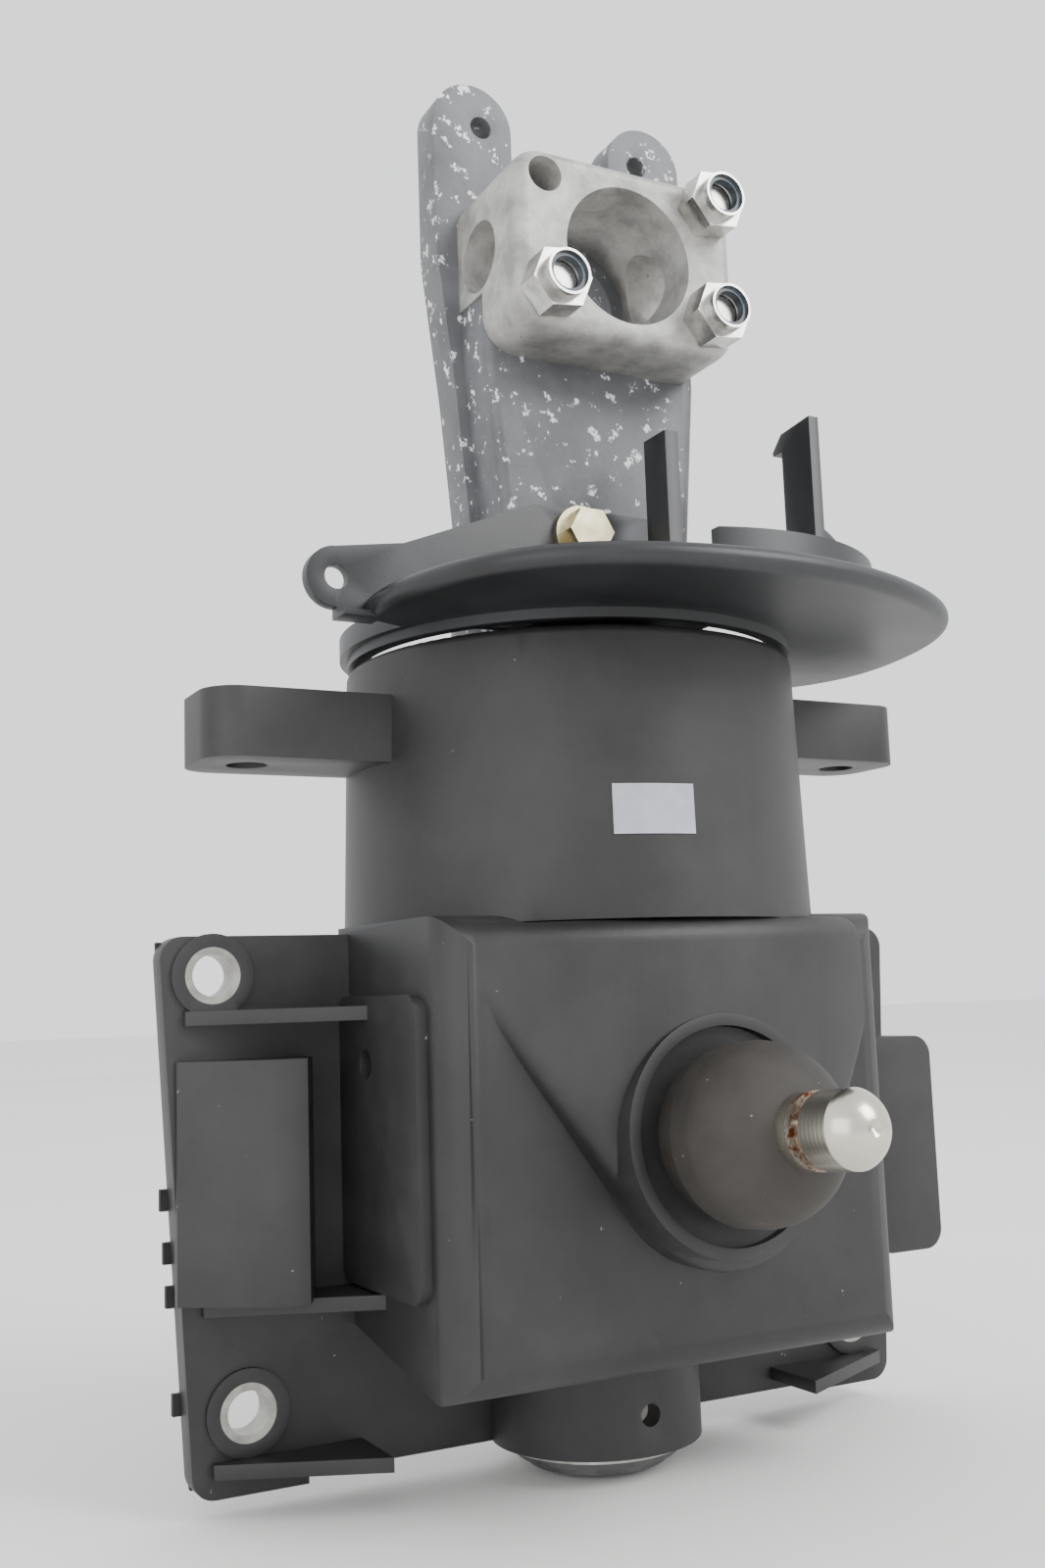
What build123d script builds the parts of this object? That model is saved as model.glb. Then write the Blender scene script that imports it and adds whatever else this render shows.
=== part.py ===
from build123d import *
from math import asin, cos, degrees, radians, sin
import os

# Steering column head in its bulkhead housing. Millimetres, +Z up, -Y towards the rider.
# Origin: midway between the two upper flange bolt holes, on the flange's back face.

# ---- Column axis and housing barrel ----
column_y = -13.0
barrel_radius = 55.0
barrel_taper = 1.6
barrel_wall = 4.5
barrel_top = 70.5
throat_bottom = -10.0
rim_fillet = 2.0
running_gap = 0.05
body_gap = 0.4
cut_over = 1.0  # how far a cut runs past the face it opens
root_depth = 1.0  # how far a raised feature is sunk into what carries it

# ---- Bulkhead flange ----
flange_thickness = 6.0
flange_top = 8.5
flange_height = 116.0
flange_half_top = 98.5
flange_half_bottom = 91.5
flange_corner = 5.0
foot_tab_width = 25.0
foot_tab_drop = 2.0
gusset_levels = (19 / 116, 79 / 116, 111.5 / 116)  # parts of the flange height, from its top
gusset_inset = 4.0
gusset_thickness = 3.0
gusset_tip = 2.0
gusset_root = 18.0
left_pad_bottom = -68.0
left_pad_height = 50.0
left_pad_outer = 95.0
left_ridge_outer = 78.0
left_ridge_inner = 71.0
left_pad_inner = 67.0
left_ridge_reach = 15.0
left_pad_edge = 7.0
right_pad_x = 86.0
right_pad_z = -46.5
right_pad_width = 21.0
right_pad_height = 53.0
right_pad_reach = 18.5
right_pad_corner = 5.0
flange_bolt_margin = 16.5
flange_bolt_x_top = 87.0
flange_bolt_x_bottom = 80.0
flange_bolt_radius = 4.5
sleeve_wall = 1.6
spot_face_radius = 9.0
spot_face_height = 1.0
gasket_thickness = 1.5
gasket_inset = 1.0
gasket_tongue_levels = (55.5 / 116, 66.5 / 116, 75.5 / 116, 97.5 / 116)  # parts of it too
gasket_tongue_reach = 3.0
gasket_tongue_width = 4.5
gasket_boss_gap = 2.0

# ---- Arm box in front of the flange ----
box_front_reach = 45.0
box_half_width = 55.5
box_top = 10.0
box_floor_front = -86.5
box_floor_back = -75.0
box_wall = 4.5
box_corner = 9.0
swell_reach = 56.0
swell_front_radius = 110.0
swell_edge = 5.0
swell_seat_x = 5.0
swell_seat_z = -38.0
swell_seat_radius = 26.0
swell_corner_radius = 6.0
swell_top_left = (-48.0, 2.0)
swell_top_right = (44.0, 3.0)
swell_side_right = (44.0, -14.0)
pad_height = 2.5
side_pad_y = -26.5
side_pad_z = -36.0
side_pad_length = 42.0
side_pad_height = 61.0
side_pad_corner = 4.0

web_window_radius = 9.5
rib_thickness = 4.0
rib_rise = 12.0
carrier_ledge = 1.5
carrier_ledge_height = 3.0
boss_hole_z = -97.0
boss_hole_radius = 2.4
pad_screw_y = -21.0
pad_screw_z = -20.0
pad_screw_radius = 3.2

# ---- Deck lugs beside the barrel ----
lug_reach = 93.0
lug_half_width = 13.0
lug_bolt_x = 81.0
lug_bolt_radius = 4.5
left_lug_bottom = 45.0
right_lug_bottom = 50.5
lug_thickness = 15.0
lug_corner = 8.0

# ---- Steering tube and its bearings ----
tube_radius = 16.0
tube_bore = 12.0
tube_bottom = -110.5
tube_top = 93.0
bush_wall = 3.0
bush_flange_radius = 24.0
bush_flange_height = 2.5
carrier_radius = 25.0
carrier_bottom = 14.0
carrier_top = 59.0
carrier_web_height = 6.0
carrier_web_z = 26.0
boss_radius = 24.0
boss_bottom = -105.5
boss_top = -70.0
upper_bush_length = 36.0
washer_thickness = 1.5
ring_thickness = 1.6
ring_seat_depth = 1.1
washer_play = 0.1
ring_outer_reach = 2.6
ring_opening = 7.0
seal_wall = 4.5
seal_edge = 0.8
steer_limit = 30.0

# ---- Head bracket ----
hub_radius = 28.0
hub_top = 97.0
hub_bottom = carrier_top + bush_flange_height + washer_thickness + washer_play
plate_front = column_y - 6.5
plate_back = column_y + 3.0
web_front = column_y - 18.5
web_thickness = 6.0
ear_x = 24.5
ear_z = 204.0
ear_radius = 10.5
ear_bolt_x = 22.3
ear_bolt_radius = 2.8
web_top = 155.0
plate_top = 186.0
rail_half_foot = 27.0
rail_half_waist = 31.0
rail_half_top = 35.0
web_half_foot = 23.5
web_half_top = 29.0
waist_z = 135.0
shoulder_z = 170.0
web_fillet = 2.5
hub_foot = 80.0
hub_screw_z = 86.0
hub_screw_radius = 3.0
hub_screw_recess = 1.0
hex_socket_flats = 3.0
hex_socket_depth = 2.0
ear_gap_depth = 50.0
rail_foot_drop = 10.0
web_step = 6.0
hollow_margin = 9.0

# ---- Clamp block ----
block_half_width = 29.5
block_top = 184.0
block_bottom = 141.0
block_front = column_y - 36.0
block_corner = 8.0
clamp_bolt_x = 21.5
clamp_bolt_low = 150.0
clamp_bolt_high = 177.5
clamp_bolt_radius = 4.0
clamp_bolt_clearance = 0.25
block_bore_radius = 16.5
block_bore_z = 162.0
plate_bore_radius = 13.0
side_window_radius = 8.3
side_window_z = 164.2
side_window_y = column_y - 17.5
nut_flats = 13.0
nut_hex_height = 6.5
nut_height = 9.5
nut_collar_radius = 5.3
nut_insert_radius = 4.7
clamp_head_height = 5.3
block_edge = 3.5
block_step_clearance = 1.0
bolt_end_inset = 0.5
nut_turn = 8.0
insert_bite = 0.3
insert_recess = 0.8

# ---- Cover plate ----
# Points that the plate's outline bends through, from the ear round the front to the back right.
cover_rim = (
    (-62.0, -36.0),
    (-60.0, -60.0),
    (-44.0, -86.0),
    (-16.0, -97.4),
    (14.0, -98.0),
    (44.0, -89.0),
    (69.0, -71.0),
    (82.0, -42.0),
    (83.5, -16.0),
    (74.0, 3.0),
    (48.0, 13.0),
)
cover_bottom = 74.0
cover_thickness = 5.0
cover_edge = 2.4
cover_ring_reach = 1.8
skirt_bottom = 71.8
skirt_outer = 53.2
skirt_wall = 3.2
cover_wall_thickness = 3.0
cover_ear_x = -67.8
cover_ear_z = 83.0
cover_ear_radius = 6.7
cover_ear_hole = 2.7
cover_bolt_x = -7.6
cover_bolt_z = 98.2
cover_bolt_radius = 3.0
cover_bolt_clearance = 0.3
cover_bolt_flange = 7.0
cover_bolt_flange_height = 1.5
cover_bolt_height = 6.0
cover_bolt_flats = 10.0
wall_shoulder_x = -52.0
wall_shoulder_z = 92.0
wall_peak_x = -19.4
wall_peak_z = 104.7
bridge_left = -26.0
bridge_right = 13.0
bridge_front = column_y - 51.5
arc_wall_x = 14.0
arc_wall_y = column_y - 23.0
arc_wall_radius = 48.0
arc_wall_thickness = 2.5
arc_wall_start = -2.0
arc_wall_back = column_y - 42.0
arc_wall_top = 88.0
fin_length = 9.0
fin_width = 7.0
fin_thickness = 1.2
tab_x = 7.3
tab_y = column_y - 34.5
tab_thickness = 3.5
tab_width = 9.0
tab_top = 120.0
tab_gusset_height = 26.0
tab_gusset_clearance = 2.5
tab_gusset_foot = 7.0
tab_gusset_radius = 20.0
tab_gusset_thickness = 2.0
clip_x = 46.3
clip_y = column_y - 34.0
clip_front = 6.0
clip_back = 5.0
clip_thickness = 2.8
clip_top = 129.0
hook_slope = 1.0
hook_nose = 3.5
hook_height = 5.5
clip_foot_top = 105.0
clip_foot_reach = 17.0
clip_foot_bulge = 10.0
clip_foot_drop = 6.5
clip_foot_edge = 3.0
clip_foot_thickness = 3.0

# ---- Steering arm inside the box ----
arm_clamp_radius = 23.0
arm_bottom = -67.0
arm_top = -38.0
arm_thickness = 11.0
arm_length = 40.0
arm_half_width = 9.0
tail_overhang = 5.0
tail_half_width = 8.0
stop_seal_gap = 2.5
post_radius = 3.5
bumper_radius = 7.0
stop_gap = 0.8
arm_clamp_z = -52.0
arm_ear_reach = 33.0
arm_bolt_y = column_y + 27.5
arm_bolt_radius = 3.0
key_width = 5.0
key_depth = 2.2
key_length = 20.0
key_bottom = -62.0
arm_slot = 2.0
arm_bolt_clearance = 0.2
arm_bolt_end = 7.0
arm_bolt_head = 4.0
arm_nut_height = 5.0
ball_radius = 5.0
ball_rise = 8.0
ball_neck = 1.0
stud_radius = 4.0
stud_tail = 7.0
stud_collar = 1.5
stud_collar_height = 2.0
bumper_foot = 1.0
bumper_headroom = 1.5

# ---- Latch pin and its rubber bumper ----
latch_x = 1.0
latch_z = -36.0
latch_tilt = 5.0
latch_pin_radius = 7.5
latch_shank_radius = 4.0
bumper_dome_radius = 18.2
dome_foot_radius = 16.4
dome_foot_height = 4.0
dome_flare_height = 7.0
dome_wall_height = 13.0
dome_height = 26.2
dome_crown_radius = 15.0
pin_collar = 4.5
pin_groove = 2.6
pin_point = 5.0
pin_length = 46.0
latch_neck_radius = 6.0
latch_thread = 10.0
latch_seat_radius = 24.5
latch_seat_height = 2.5
latch_wall = 13.5
latch_nut_room = 10.0
latch_nut_access = 40.0
latch_seat_root = 8.0
latch_seat_lip = 2.5
latch_shank_clearance = 0.3
latch_washer_clearance = 0.2
pin_tip_radius = 1.6
pin_head_radius = 8.0
pin_dimple = 0.8

# ---- Blank stock label ----
label_z = 31.0
label_height = 10.5
label_arc = 19.0
label_turn = 11.6
label_thickness = 0.2

os.makedirs("parts", exist_ok=True)


def finish(part, label):
    """Label one finished piece and write it as its own file."""
    part.label = label
    export_step(part, f"parts/{label}.step")


def column_plane(height):
    """Horizontal work plane centred on the column axis."""
    return Plane((0, column_y, height), x_dir=(1, 0, 0), z_dir=(0, 0, 1))


def front_plane(y):
    """Upright work plane at a given y; sketch x is world x, sketch y is world z."""
    return Plane((0, y, 0), x_dir=(1, 0, 0), z_dir=(0, -1, 0))


def side_plane(x):
    """Upright work plane at a given x; sketch x is world y, sketch y is world z."""
    return Plane((x, 0, 0), x_dir=(0, 1, 0), z_dir=(1, 0, 0))


flange_bottom = flange_top - flange_height
flange_bolt_drop = -flange_bottom - flange_bolt_margin
flange_front = -flange_thickness
cover_root = cover_bottom + root_depth
cover_ring_radius = skirt_outer + cover_ring_reach
flange_lean = (flange_half_top - flange_half_bottom) / flange_height
box_front = column_y - box_front_reach
swell_front = column_y - swell_reach
latch_plane = Plane(
    (latch_x, swell_front, latch_z),
    x_dir=(1, 0, 0),
    z_dir=(0, -cos(radians(latch_tilt)), sin(radians(latch_tilt))),
)
flange_bolts = [
    (-flange_bolt_x_top, 0),
    (flange_bolt_x_top, 0),
    (-flange_bolt_x_bottom, -flange_bolt_drop),
    (flange_bolt_x_bottom, -flange_bolt_drop),
]
box_inner_half = box_half_width - box_wall
box_inner_front = box_front + box_wall
barrel_bore = barrel_radius - barrel_taper - barrel_wall
bush_outer = tube_radius + running_gap + bush_wall
tab_gusset_reach = column_y - tab_y - tube_radius - tab_gusset_clearance
stop_radius = tube_radius + seal_wall + bumper_radius + stop_seal_gap
tail_length = stop_radius + tail_overhang
stop_angle = steer_limit + degrees(
    asin((tail_half_width + bumper_radius + stop_gap) / stop_radius)
)
stops = [
    (side * stop_radius * sin(radians(stop_angle)), -stop_radius * cos(radians(stop_angle)))
    for side in (-1, 1)
]
ring_bottom = boss_bottom - washer_thickness - ring_thickness - washer_play
column_axis = Axis((0, column_y, 0), (0, 0, 1))
latch_section = Plane(
    latch_plane.origin,
    x_dir=(1, 0, 0),
    z_dir=(0, -sin(radians(latch_tilt)), -cos(radians(latch_tilt))),
)
latch_axis = Axis(latch_plane.origin, latch_plane.z_dir)
clamp_bolt_places = [
    (side * clamp_bolt_x, height)
    for side in (-1, 1)
    for height in (clamp_bolt_low, clamp_bolt_high)
]
clamp_bolt_fitted = [
    (-clamp_bolt_x, clamp_bolt_low),
    (clamp_bolt_x, clamp_bolt_low),
    (clamp_bolt_x, clamp_bolt_high),
]
label_start = radians(270.0 - label_turn - label_arc / 2)
label_plane = Plane(
    (0, column_y, 0),
    x_dir=(cos(label_start), sin(label_start), 0),
    z_dir=(sin(label_start), -cos(label_start), 0),
)
# The posts and bumpers catch the tail, and stay under the ball stud that swings over them.
post_top = arm_top - arm_thickness - stud_tail - bumper_headroom


def barrel_radius_at(height):
    """Outside radius of the tapered barrel at a given height."""
    return barrel_radius - barrel_taper * (height - flange_top) / (barrel_top - flange_top)


def flange_half_at(height):
    """Half width of the tapering flange at a given height."""
    return flange_half_bottom + (height - flange_bottom) * flange_lean


def flange_outline(inset=0.0):
    """Trapezoid flange outline with two foot tabs at its lower corners, in the current line."""
    half_top = flange_half_top - inset
    half_bottom = flange_half_bottom - inset
    low = flange_bottom + inset
    Polyline(
        (-half_top, flange_top - inset),
        (half_top, flange_top - inset),
        (half_bottom, low),
        (half_bottom - foot_tab_width, low),
        (half_bottom - foot_tab_width, low + foot_tab_drop),
        (foot_tab_width - half_bottom, low + foot_tab_drop),
        (foot_tab_width - half_bottom, low),
        (-half_bottom, low),
        close=True,
    )


# ---------------------------------------------------------------- steering housing
with BuildPart() as swelling:
    # Bulge that carries the latch pin and runs up diagonally into the barrel.
    with BuildSketch(front_plane(box_front + box_wall)):
        with Locations((swell_seat_x, swell_seat_z)):
            Circle(swell_seat_radius)
        with Locations(swell_top_left, swell_top_right, swell_side_right):
            Circle(swell_corner_radius)
        make_hull()
    extrude(amount=swell_reach)
    with BuildSketch(Plane.XY.offset(-2 * box_half_width)):
        with Locations((0, swell_front + swell_front_radius)):
            Circle(swell_front_radius)
    extrude(amount=4 * box_half_width, mode=Mode.INTERSECT)
    swell_edges = swelling.faces().sort_by(Axis.Y)[0].edges()
    fillet(swell_edges, swell_edge)

with BuildPart() as box_shell:
    # Arm box with its sloping floor, closed at the front and open through the flange.
    with BuildSketch(side_plane(-box_half_width)):
        with BuildLine():
            Polyline(
                (0, box_top),
                (box_front, box_top),
                (box_front, box_floor_front),
                (0, box_floor_back),
                close=True,
            )
        make_face()
    extrude(amount=2 * box_half_width)
    front_face = box_shell.faces().sort_by(Axis.Y)[0]
    fillet(front_face.edges(), box_corner)

with BuildPart() as box_cavity:
    with BuildSketch(side_plane(-box_inner_half)):
        with BuildLine():
            Polyline(
                (cut_over, box_top - box_wall),
                (box_inner_front, box_top - box_wall),
                (box_inner_front, box_floor_front + box_wall),
                (0, box_floor_back + box_wall),
                (cut_over, box_floor_back + box_wall),
                close=True,
            )
        make_face()
    extrude(amount=2 * box_inner_half)
    inner_face = box_cavity.faces().sort_by(Axis.Y)[0]
    fillet(inner_face.edges(), box_corner - box_wall)

with BuildPart() as steering_housing:
    # Barrel, slightly narrower at the top where it leaves the mould.
    with BuildSketch(front_plane(column_y)):
        with BuildLine():
            Polyline(
                (0, flange_top),
                (barrel_radius, flange_top),
                (barrel_radius - barrel_taper, barrel_top),
                (0, barrel_top),
                close=True,
            )
        make_face()
    revolve(axis=Axis((0, column_y, 0), (0, 0, 1)))
    rim_edge = steering_housing.edges().filter_by(GeomType.CIRCLE).sort_by(Axis.Z)[-1]
    fillet(rim_edge, rim_fillet)
    add(box_shell.part)
    add(swelling.part)
    # Flange plate.
    with BuildSketch(front_plane(0)):
        with BuildLine():
            flange_outline()
        make_face()
        fillet([v for v in vertices() if abs(v.X) > flange_half_bottom - cut_over], flange_corner)
    extrude(amount=flange_thickness)
    # Raised rings around the flange bolt holes.
    with BuildSketch(front_plane(flange_front)):
        with Locations(*flange_bolts):
            Circle(spot_face_radius)
    extrude(amount=spot_face_height)
    # Triangular gussets that tie the flange to the box.
    for side in (-1, 1):
        for gusset_level in gusset_levels:
            gusset_z = flange_top - gusset_level * flange_height
            gusset_tip_x = side * (flange_half_at(gusset_z) - gusset_inset)
            gusset_root_x = side * (box_half_width - root_depth)
            with BuildSketch(Plane.XY.offset(gusset_z)):
                with BuildLine():
                    Polyline(
                        (gusset_tip_x, flange_front + root_depth),
                        (gusset_tip_x, flange_front - gusset_tip),
                        (gusset_root_x, flange_front - gusset_root),
                        (gusset_root_x, flange_front + root_depth),
                        close=True,
                    )
                make_face()
            extrude(amount=gusset_thickness)
    # Left stiffening pad, ridged, and right pad, boxed, both standing on the flange.
    with BuildSketch(Plane.XY.offset(left_pad_bottom)):
        with BuildLine():
            Polyline(
                (-left_pad_outer, flange_front + root_depth),
                (-left_pad_outer, flange_front - root_depth),
                (-left_ridge_outer, flange_front - left_ridge_reach + root_depth),
                (-left_ridge_inner, flange_front - left_ridge_reach),
                (-left_pad_inner, flange_front - left_pad_edge),
                (-left_pad_inner, flange_front + root_depth),
                close=True,
            )
        make_face()
    extrude(amount=left_pad_height)
    with BuildSketch(front_plane(flange_front)):
        with Locations((right_pad_x, right_pad_z)):
            RectangleRounded(right_pad_width, right_pad_height, right_pad_corner)
    extrude(amount=right_pad_reach)
    # Lower bearing boss under the floor.
    with BuildSketch(column_plane(boss_bottom)):
        Circle(boss_radius)
    extrude(amount=boss_top - boss_bottom)
    # Deck lugs.
    for side, lug_bottom in ((-1, left_lug_bottom), (1, right_lug_bottom)):
        with BuildSketch(column_plane(lug_bottom)):
            with Locations((side * (lug_reach + barrel_bore) / 2, 0)):
                Rectangle(lug_reach - barrel_bore, 2 * lug_half_width)
            fillet([v for v in vertices() if abs(v.X) > lug_reach - cut_over], lug_corner)
        extrude(amount=lug_thickness)
    # Side pads on the box walls.
    for side in (-1, 1):
        with BuildSketch(side_plane(side * (box_half_width - root_depth))):
            with Locations((side_pad_y, side_pad_z)):
                RectangleRounded(side_pad_length, side_pad_height, side_pad_corner)
        extrude(amount=side * (pad_height + root_depth))
    # Hollows: arm box, barrel bore, and the way between them in front of the flange.
    add(box_cavity.part, mode=Mode.SUBTRACT)
    with BuildSketch(column_plane(flange_top + barrel_wall)):
        Circle(barrel_bore)
    extrude(amount=barrel_top, mode=Mode.SUBTRACT)
    with BuildSketch(column_plane(throat_bottom)):
        Circle(barrel_bore)
        with Locations((0, flange_front - column_y + barrel_radius)):
            Rectangle(4 * barrel_radius, 2 * barrel_radius, mode=Mode.SUBTRACT)
    extrude(amount=flange_top + barrel_wall - throat_bottom + cut_over, mode=Mode.SUBTRACT)
    # Ledge inside the barrel that the bearing carrier sits on.
    with BuildSketch(column_plane(carrier_web_z - carrier_ledge_height)):
        Circle(barrel_bore + root_depth)
        Circle(barrel_bore - carrier_ledge, mode=Mode.SUBTRACT)
    extrude(amount=carrier_ledge_height)
    # Seat of the lower bush, carried on up past the flange's top edge to clear the tube.
    with BuildSketch(column_plane(boss_bottom - cut_over)):
        Circle(bush_outer)
    extrude(amount=carrier_bottom - boss_bottom + cut_over, mode=Mode.SUBTRACT)
    # Posts for the stop bumpers.
    with BuildSketch(column_plane(box_floor_front + box_wall - root_depth)):
        with Locations(*stops):
            Circle(post_radius)
    extrude(amount=post_top - box_floor_front - box_wall + root_depth)
    # Drain and locating hole in the lower boss, and the screw hole in each side pad.
    with BuildSketch(front_plane(column_y)):
        with Locations((0, boss_hole_z)):
            Circle(boss_hole_radius)
    extrude(amount=boss_radius + cut_over, mode=Mode.SUBTRACT)
    with BuildSketch(side_plane(-box_half_width - pad_height)):
        with Locations((pad_screw_y, pad_screw_z)):
            Circle(pad_screw_radius)
    extrude(amount=2 * (box_half_width + pad_height), mode=Mode.SUBTRACT)
    # Latch seat, its groove, its bore and the nut's spot face.
    with BuildSketch(latch_plane.offset(-latch_seat_root)):
        Circle(latch_seat_radius)
    extrude(amount=latch_seat_root + latch_seat_height)
    with BuildSketch(latch_plane):
        Circle(latch_seat_radius - latch_seat_lip)
    extrude(amount=latch_seat_height + cut_over, mode=Mode.SUBTRACT)
    with BuildSketch(latch_plane.offset(-latch_wall - latch_nut_access)):
        Circle(latch_nut_room)
    extrude(amount=latch_nut_access, mode=Mode.SUBTRACT)
    with BuildSketch(latch_plane.offset(-latch_wall - cut_over)):
        Circle(latch_shank_radius + latch_shank_clearance)
    extrude(amount=latch_wall + latch_seat_height + 2 * cut_over, mode=Mode.SUBTRACT)
    # Bolt holes: flange sleeves and lugs.
    with BuildSketch(front_plane(cut_over)):
        with Locations(*flange_bolts):
            Circle(flange_bolt_radius + sleeve_wall)
    extrude(amount=flange_thickness + spot_face_height + 2 * cut_over, mode=Mode.SUBTRACT)
    with BuildSketch(column_plane(left_lug_bottom - cut_over)):
        with Locations((-lug_bolt_x, 0), (lug_bolt_x, 0)):
            Circle(lug_bolt_radius)
    extrude(amount=barrel_top, mode=Mode.SUBTRACT)
finish(steering_housing.part, "steering_housing")

# ---------------------------------------------------------------- bearing carrier
with BuildPart() as bearing_carrier:
    # Insert pressed into the barrel: a sleeve for the upper bush on a pierced web with ribs.
    with BuildSketch(column_plane(carrier_web_z)):
        Circle(barrel_bore)
        with PolarLocations((barrel_bore + carrier_radius) / 2, 4, start_angle=45):
            Circle(web_window_radius, mode=Mode.SUBTRACT)
    extrude(amount=carrier_web_height)
    with BuildSketch(column_plane(carrier_web_z)):
        # Each rib is sunk into the sleeve and stops short of the web's rim.
        with PolarLocations((barrel_bore + carrier_radius) / 2 - root_depth, 4):
            Rectangle(barrel_bore - carrier_radius, rib_thickness)
    extrude(amount=carrier_web_height + rib_rise)
    with BuildSketch(column_plane(carrier_bottom)):
        Circle(carrier_radius)
    extrude(amount=carrier_top - carrier_bottom)
    with BuildSketch(column_plane(carrier_bottom - cut_over)):
        Circle(bush_outer)
    extrude(amount=carrier_top - carrier_bottom + 2 * cut_over, mode=Mode.SUBTRACT)
finish(bearing_carrier.part, "bearing_carrier")

# ---------------------------------------------------------------- flange gasket and sleeves
with BuildPart() as flange_gasket:
    with BuildSketch(front_plane(gasket_thickness)):
        with BuildLine():
            flange_outline(gasket_inset)
        make_face()
        # Small torn tongues that stick out past the left edge.
        for tongue_level in gasket_tongue_levels:
            tongue_z = flange_top - tongue_level * flange_height
            with Locations((-flange_half_at(tongue_z), tongue_z)):
                Rectangle(gasket_tongue_reach, gasket_tongue_width)
        # Cut-outs for the box opening and the lower boss leave a strip on each side.
        with Locations((0, box_floor_back + box_wall + flange_height / 2)):
            Rectangle(2 * box_inner_half, flange_height, mode=Mode.SUBTRACT)
        with Locations((0, flange_bottom)):
            Rectangle(2 * (boss_radius + gasket_boss_gap), flange_height, mode=Mode.SUBTRACT)
        with Locations(*flange_bolts):
            Circle(flange_bolt_radius + sleeve_wall, mode=Mode.SUBTRACT)
    extrude(amount=gasket_thickness)
finish(flange_gasket.part, "flange_gasket")

with BuildPart() as flange_sleeves:
    # Rolled steel compression limiters, one per flange bolt.
    with BuildSketch(front_plane(0)):
        with Locations(*flange_bolts):
            Circle(flange_bolt_radius + sleeve_wall)
            Circle(flange_bolt_radius, mode=Mode.SUBTRACT)
    extrude(amount=flange_thickness + spot_face_height)
finish(flange_sleeves.part, "flange_sleeves")

# ---------------------------------------------------------------- bearings
with BuildPart() as upper_bush:
    with BuildSketch(column_plane(carrier_top - upper_bush_length)):
        Circle(bush_outer)
        Circle(tube_radius + running_gap, mode=Mode.SUBTRACT)
    extrude(amount=upper_bush_length)
    with BuildSketch(column_plane(carrier_top)):
        Circle(bush_flange_radius)
        Circle(tube_radius + running_gap, mode=Mode.SUBTRACT)
    extrude(amount=bush_flange_height)
finish(upper_bush.part, "upper_bush")

with BuildPart() as lower_bush:
    with BuildSketch(column_plane(boss_bottom)):
        Circle(bush_outer)
        Circle(tube_radius + running_gap, mode=Mode.SUBTRACT)
    extrude(amount=boss_top - boss_bottom)
finish(lower_bush.part, "lower_bush")

with BuildPart() as thrust_washer:
    with BuildSketch(column_plane(carrier_top + bush_flange_height)):
        Circle(bush_flange_radius)
        Circle(tube_radius + body_gap, mode=Mode.SUBTRACT)
    extrude(amount=washer_thickness)
finish(thrust_washer.part, "thrust_washer")

with BuildPart() as stop_bumpers:
    # Rubber sleeves pushed over the two posts.
    with BuildSketch(column_plane(arm_bottom - bumper_foot)):
        with Locations(*stops):
            Circle(bumper_radius)
            Circle(post_radius, mode=Mode.SUBTRACT)
    extrude(amount=post_top - arm_bottom + bumper_foot)
finish(stop_bumpers.part, "stop_bumpers")

# ---------------------------------------------------------------- latch pin
with BuildPart() as latch_bumper:
    # Domed rubber bumper in the latch seat.
    with BuildSketch(latch_section):
        with BuildLine():
            Polyline(
                (latch_shank_radius + running_gap, 0),
                (dome_foot_radius, 0),
                (dome_foot_radius, dome_foot_height),
                (bumper_dome_radius, dome_flare_height),
                (bumper_dome_radius, dome_wall_height),
            )
            RadiusArc(
                (bumper_dome_radius, dome_wall_height),
                (latch_pin_radius, dome_height),
                -dome_crown_radius,
            )
            Polyline(
                (latch_pin_radius, dome_height),
                (latch_shank_radius + running_gap, dome_height),
                (latch_shank_radius + running_gap, 0),
            )
        make_face()
    revolve(axis=latch_axis)
finish(latch_bumper.part, "latch_bumper")

with BuildPart() as latch_pin:
    # Turned stainless striker pin: shank, collar, groove and pointed head.
    with BuildSketch(latch_section):
        with BuildLine():
            Polyline(
                (0, -latch_wall - latch_thread),
                (latch_shank_radius, -latch_wall - latch_thread),
                (latch_shank_radius, dome_height),
                (latch_pin_radius, dome_height),
                (latch_pin_radius, dome_height + pin_collar),
                (latch_neck_radius, dome_height + pin_collar),
                (latch_neck_radius, dome_height + pin_collar + pin_groove),
                (latch_pin_radius, dome_height + pin_collar + pin_groove),
                (latch_pin_radius, pin_length - pin_point),
            )
            RadiusArc(
                (latch_pin_radius, pin_length - pin_point),
                (pin_tip_radius, pin_length),
                -pin_head_radius,
            )
            Polyline(
                (pin_tip_radius, pin_length),
                (0, pin_length - pin_dimple),
                (0, -latch_wall - latch_thread),
            )
        make_face()
    revolve(axis=latch_axis)
finish(latch_pin.part, "latch_pin")

with BuildPart() as latch_washer:
    with BuildSketch(latch_plane.offset(-latch_wall - washer_thickness)):
        Circle(latch_nut_room - body_gap)
        Circle(latch_shank_radius + latch_washer_clearance, mode=Mode.SUBTRACT)
    extrude(amount=washer_thickness)
finish(latch_washer.part, "latch_washer")

with BuildPart() as latch_nut:
    with BuildSketch(latch_plane.offset(-latch_wall - washer_thickness - nut_hex_height)):
        RegularPolygon(nut_flats / 2, 6, major_radius=False)
        Circle(latch_shank_radius, mode=Mode.SUBTRACT)
    extrude(amount=nut_hex_height)
finish(latch_nut.part, "latch_nut")

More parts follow.
